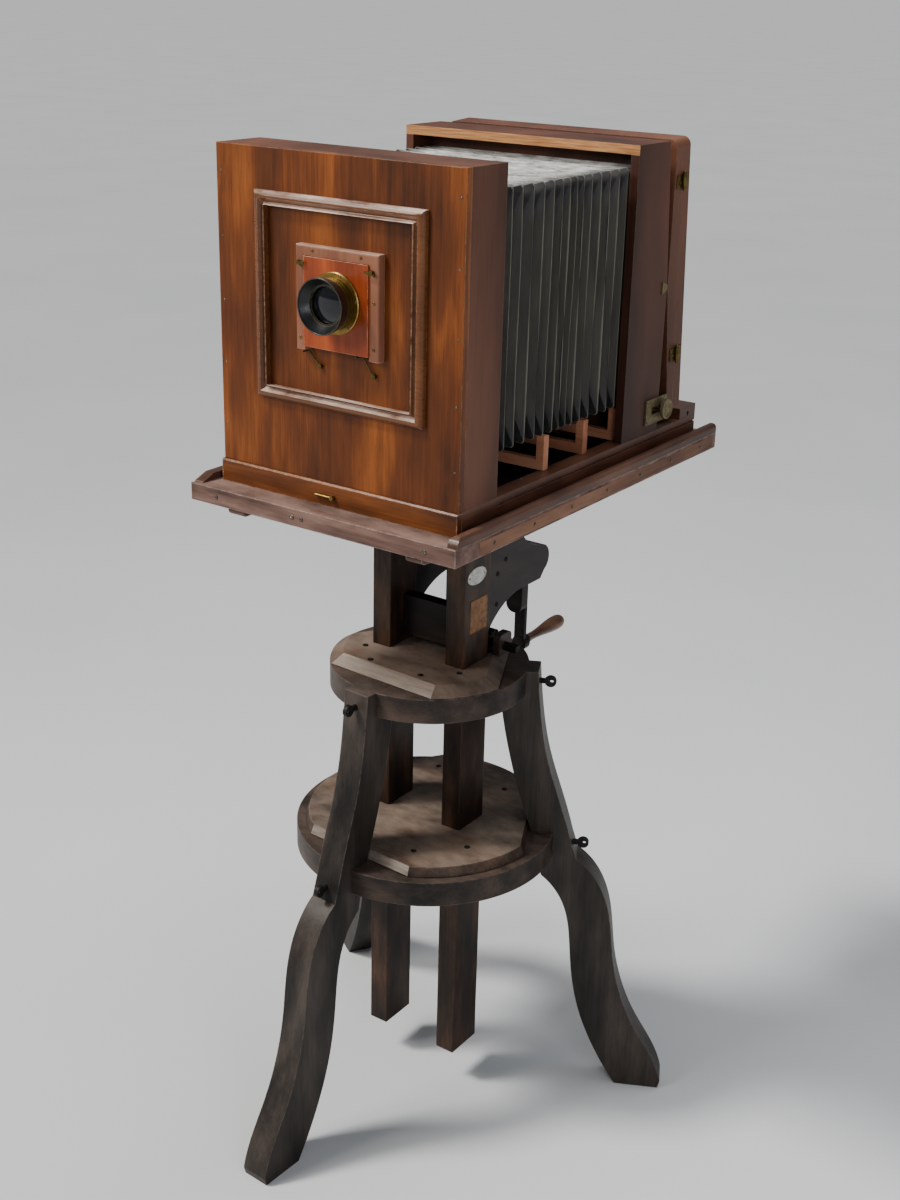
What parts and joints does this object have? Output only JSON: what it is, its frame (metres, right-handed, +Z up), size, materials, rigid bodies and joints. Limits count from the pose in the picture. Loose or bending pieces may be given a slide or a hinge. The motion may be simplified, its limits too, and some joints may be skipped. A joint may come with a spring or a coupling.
{
  "type": "studio bellows camera on a stand",
  "caption": "Wooden studio bellows camera with brass lens on a tilting platform, over a heavy three-legged wooden stand with a rising column.",
  "frame": {"origin": "middle of the footprint on the floor; the stand's own axis is 11 mm to -X and 31.5 mm to -Y of it", "axes": "+Z up; the lens looks along -Y; +X is on the right when facing the lens board from in front"},
  "size_m": [0.8068, 0.9687, 1.6874],
  "materials": {
    "stand_oak": "old dark oak, waxed and worn",
    "deck_oak": "dark oak with pale worn edges",
    "platform_elm": "worn grey-brown board",
    "mahogany": "french-polished mahogany, vertical grain",
    "mahogany_matt": "mahogany, dull polish",
    "red_mahogany": "reddish lens board",
    "pale_cedar": "unfinished light wood",
    "handle_beech": "turned handle, handled smooth",
    "forged_iron": "forged iron, dark and dry",
    "cast_gear": "cast gear teeth, oily",
    "brass": "aged lacquered brass",
    "black_lacquer": "black lacquer over brass",
    "lens_glass": "polished",
    "ground_glass": "finely ground on one side",
    "bellows_cloth": "pleated cloth-backed leather, worn grey folds"
  },
  "bodies": {
    "stand": {"leg_front": "stand_oak", "leg_right": "stand_oak", "leg_left": "stand_oak", "upper_disc": "stand_oak", "upper_deck": "deck_oak", "lower_disc": "stand_oak", "lower_deck": "deck_oak", "leg_bolts": "forged_iron", "lift_bearings": "deck_oak"},
    "lift_gear": {"lift_shaft": "forged_iron", "lift_pinions": "cast_gear"},
    "column": {"posts": "stand_oak", "lift_racks": "cast_gear", "cross_board": "stand_oak", "brackets": "stand_oak", "tilt_hinge_pin": "forged_iron", "screw_board": "stand_oak", "screw_hanger": "stand_oak"},
    "screw_and_crank": {"tilt_screw": "forged_iron", "crank_arm": "forged_iron", "crank_spindle": "forged_iron"},
    "grip": {"crank_grip": "handle_beech"},
    "nut": {"tilt_nut": "brass"},
    "platform": {"platform_board": "platform_elm", "platform_battens": "platform_elm", "edge_rails": "platform_elm", "tilt_bracket": "cast_gear", "bed_rails": "mahogany_matt", "bed_floor": "mahogany_matt", "focus_racks": "brass", "front_cleat": "mahogany", "front_panel": "mahogany", "front_box": "mahogany_matt", "panel_moulding": "mahogany", "lens_frame": "mahogany", "lens_board": "red_mahogany", "lens_flange": "brass", "lens_barrel": "brass", "lens_hood": "black_lacquer", "lens_glasses": "lens_glass", "bellows": "bellows_cloth"},
    "button_left": {"catch_upper_left": "brass"},
    "button_right": {"catch_upper_right": "brass"},
    "hook_left": {"catch_lower_left": "brass"},
    "hook_right": {"catch_lower_right": "brass"},
    "latch": {"cleat_latch": "brass"},
    "slat_front": {"support_front": "pale_cedar"},
    "slat_middle": {"support_middle": "pale_cedar"},
    "slat_rear": {"support_rear": "pale_cedar"},
    "rear": {"carriage": "mahogany_matt", "rear_box": "mahogany_matt", "swing_plates": "brass"},
    "focus_gear": {"focus_shaft": "brass", "focus_knob": "brass"},
    "swing_back": {"back_frame": "mahogany_matt", "hinge_pintles": "brass"},
    "lock": {"lock_knob": "brass"},
    "screen": {"glass_frame": "mahogany_matt", "ground_glass": "ground_glass", "hinge_leaves": "brass"}
  },
  "joints": [
    {"name": "column_lift", "type": "slide", "parent": "stand", "child": "column", "axis": [0, 0, 1], "range_m": [-0.014, 0.28]},
    {"name": "lift_shaft_turn", "type": "hinge", "parent": "stand", "child": "lift_gear", "pos_m": [-0.011, 0.03375, 0.856], "axis": [1, 0, 0], "range_deg": [-764.44, 38.7]},
    {"name": "platform_tilt", "type": "hinge", "parent": "column", "child": "platform", "pos_m": [-0.011, 0.0685, 1.095], "axis": [1, 0, 0], "range_deg": [-8, 8]},
    {"name": "tilt_nut_travel", "type": "slide", "parent": "column", "child": "nut", "axis": [0, 1, 0], "range_m": [-0.027, 0.027]},
    {"name": "tilt_screw_turn", "type": "hinge", "parent": "column", "child": "screw_and_crank", "pos_m": [-0.011, 0.1185, 0.905], "axis": [0, 1, 0], "range_deg": [-479, 479]},
    {"name": "crank_grip_turn", "type": "hinge", "parent": "screw_and_crank", "child": "grip", "pos_m": [-0.011, 0.3485, 0.758], "axis": [0, 1, 0], "continuous": true},
    {"name": "focus_slide", "type": "slide", "parent": "platform", "child": "rear", "axis": [0, 1, 0], "range_m": [-0.19, 0], "deforming": ["bellows"]},
    {"name": "focus_pinion_turn", "type": "hinge", "parent": "rear", "child": "focus_gear", "pos_m": [-0.011, 0.4245, 1.20695], "axis": [1, 0, 0], "range_deg": [0, 1451.99]},
    {"name": "back_swing", "type": "hinge", "parent": "rear", "child": "swing_back", "pos_m": [-0.011, 0.3125, 1.447], "axis": [1, 0, 0], "range_deg": [-7.4, 0]},
    {"name": "swing_lock_turn", "type": "hinge", "parent": "swing_back", "child": "lock", "pos_m": [0.217, 0.3145, 1.239], "axis": [1, 0, 0], "range_deg": [0, 180]},
    {"name": "screen_door", "type": "hinge", "parent": "swing_back", "child": "screen", "pos_m": [0.2212, 0.34858, 1.44933], "axis": [0, 0.0645, -0.9979], "range_deg": [0, 120]},
    {"name": "button_left_turn", "type": "hinge", "parent": "platform", "child": "button_left", "pos_m": [-0.0655, -0.3015, 1.532], "axis": [0, -1, 0], "range_deg": [0, 90]},
    {"name": "button_right_turn", "type": "hinge", "parent": "platform", "child": "button_right", "pos_m": [0.0695, -0.3015, 1.532], "axis": [0, 1, 0], "range_deg": [0, 90]},
    {"name": "hook_left_turn", "type": "hinge", "parent": "platform", "child": "hook_left", "pos_m": [-0.038, -0.2885, 1.379], "axis": [0, -1, 0], "range_deg": [0, 100]},
    {"name": "hook_right_turn", "type": "hinge", "parent": "platform", "child": "hook_right", "pos_m": [0.063, -0.2885, 1.379], "axis": [0, -1, 0], "range_deg": [0, 100]},
    {"name": "latch_turn", "type": "hinge", "parent": "platform", "child": "latch", "pos_m": [-0.012, -0.2945, 1.1802], "axis": [0, 1, 0], "range_deg": [0, 90]},
    {"name": "slat_front_slide", "type": "slide", "parent": "platform", "child": "slat_front", "axis": [0, 1, 0], "range_m": [-0.0762, 0]},
    {"name": "slat_middle_slide", "type": "slide", "parent": "platform", "child": "slat_middle", "axis": [0, 1, 0], "range_m": [-0.1313, 0]},
    {"name": "slat_rear_slide", "type": "slide", "parent": "platform", "child": "slat_rear", "axis": [0, 1, 0], "range_m": [-0.1788, 0]}
  ],
  "couplings": [
    {"joint": "lift_shaft_turn", "follows": "column_lift", "rad_per_m": -47.619},
    {"joint": "tilt_nut_travel", "follows": "platform_tilt", "m_per_rad": 0.19},
    {"joint": "tilt_screw_turn", "follows": "platform_tilt", "ratio": -59.69},
    {"joint": "focus_pinion_turn", "follows": "focus_slide", "rad_per_m": -133.33},
    {"joint": "slat_front_slide", "follows": "focus_slide", "ratio": 0.4},
    {"joint": "slat_middle_slide", "follows": "focus_slide", "ratio": 0.69},
    {"joint": "slat_rear_slide", "follows": "focus_slide", "ratio": 0.94}
  ]
}
